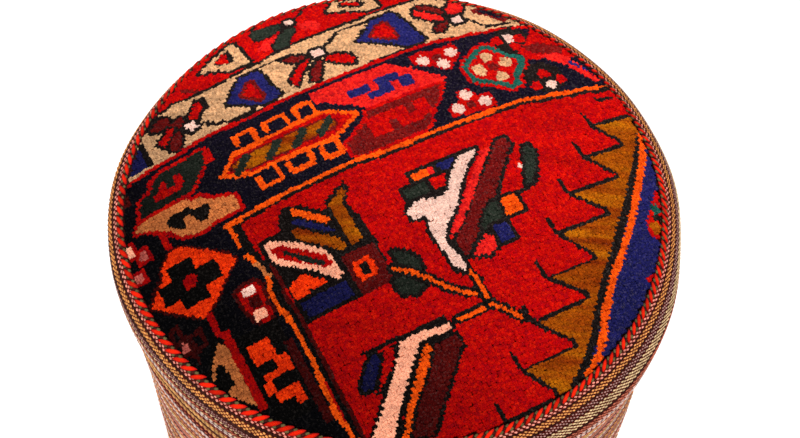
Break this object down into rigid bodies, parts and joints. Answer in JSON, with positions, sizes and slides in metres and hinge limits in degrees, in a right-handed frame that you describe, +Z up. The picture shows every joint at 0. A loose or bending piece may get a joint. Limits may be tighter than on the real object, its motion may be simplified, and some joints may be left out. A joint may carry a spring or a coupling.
{
  "type": "rug pouf",
  "caption": "Round drum-shaped pouf with a crowned hand-knotted rug seat, a soft rim roll and a striped flat-woven cloth side, standing on low plastic glides.",
  "frame": {"origin": "middle of the base, on the floor", "axes": "+Z up along the drum's axis; -Y to the front, the side seen in the picture; the side cloth closes at the back, on +Y"},
  "size_m": [0.3999, 0.4, 0.4],
  "materials": {
    "rug": "short wool pile",
    "side_cloth": "striped flat weave",
    "thread": "twisted sewing thread",
    "filling": "soft fibre and foam",
    "hardboard": "smooth hardboard",
    "plywood": "raw plywood",
    "timber": "planed softwood",
    "lining": "non-woven lining",
    "steel": "zinc-plated steel",
    "glide_plastic": "moulded plastic"
  },
  "bodies": {
    "root": {"rug_top": "rug", "side_cover": "side_cloth", "rim_seam_thread": "thread", "side_seam_stitches": "thread", "top_wadding": "filling", "top_foam": "filling", "side_wadding": "filling", "wall_skin": "hardboard", "top_board": "plywood", "bottom_board": "plywood", "post_1": "timber", "post_2": "timber", "post_3": "timber", "post_4": "timber", "post_5": "timber", "post_6": "timber", "top_screws": "steel", "bottom_screws": "steel", "wall_staples_top": "steel", "wall_staples_bottom": "steel", "cover_staples": "steel", "dust_cover": "lining", "dust_cover_staples": "steel", "glide_screws": "steel", "glide_1": "glide_plastic", "glide_2": "glide_plastic", "glide_3": "glide_plastic", "glide_4": "glide_plastic"}
  },
  "joints": []
}
